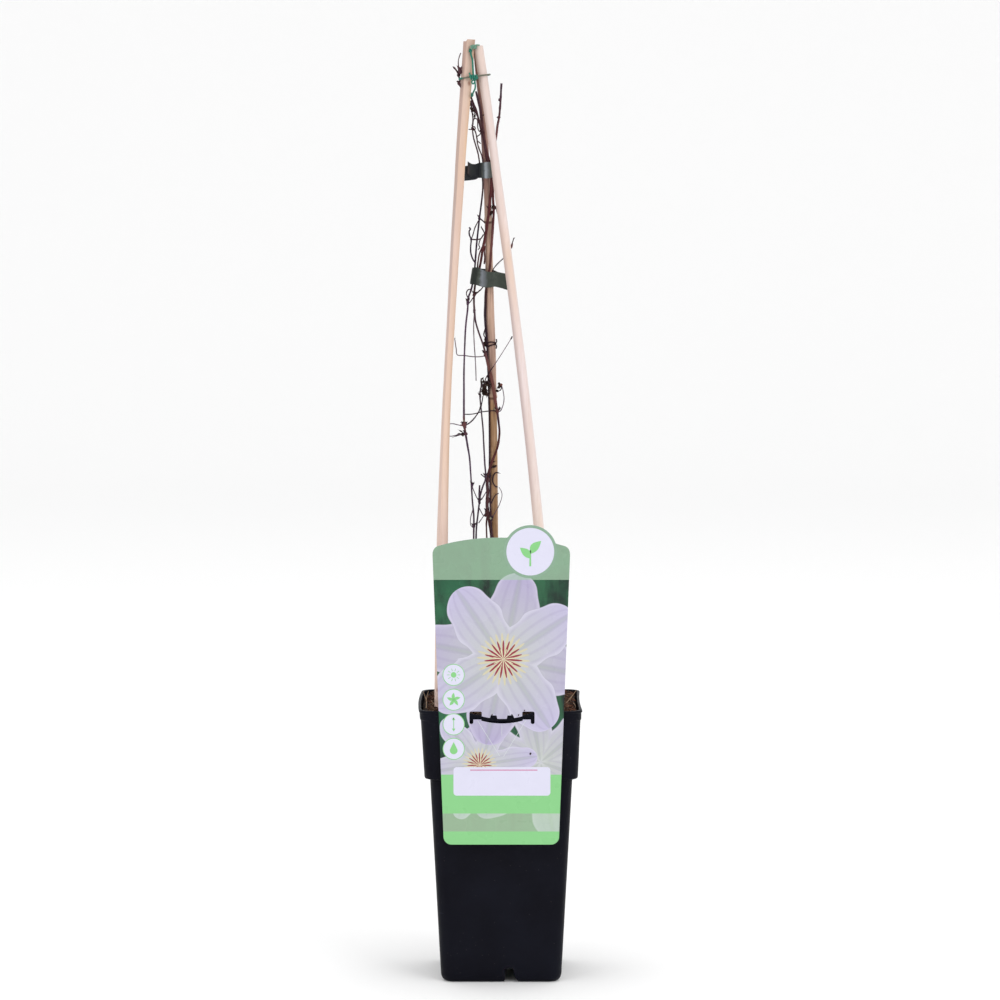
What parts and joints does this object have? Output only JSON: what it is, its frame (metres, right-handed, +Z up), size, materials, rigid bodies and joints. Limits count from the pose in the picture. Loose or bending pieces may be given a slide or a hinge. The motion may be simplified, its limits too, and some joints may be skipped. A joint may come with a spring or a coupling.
{
  "type": "potted climbing plant on a cane trellis",
  "caption": "Tall tapering square pot of compost with leaning canes tied at the top, bare twining vine stems taped to them, and a flat hanging label over the front rim.",
  "frame": {"origin": "under the middle of the pot, on the plane that its feet stand on", "axes": "+Z up along the pot and the canes, -Y towards the front, where the label hangs, +X to the right seen from the front"},
  "size_m": [0.1223, 0.1217, 0.7141],
  "materials": {
    "pot_plastic": "satin",
    "compost": "rough, fibrous",
    "stake_wood": "bare, straight grain",
    "bamboo": "smooth, weathered",
    "vine_bark": "ridged bark",
    "tie_tape": "satin",
    "coated_wire": "satin",
    "label_plastic": "smooth print"
  },
  "bodies": {
    "root": {"pot": "pot_plastic", "compost": "compost", "cane_left": "stake_wood", "cane_right": "stake_wood", "cane_back": "bamboo", "stem_left": "vine_bark", "stem_inner": "vine_bark", "stem_main": "vine_bark", "stem_side": "vine_bark", "tape_lower": "tie_tape", "tape_upper": "tie_tape", "wire_tie": "coated_wire", "label": "label_plastic"}
  },
  "joints": []
}
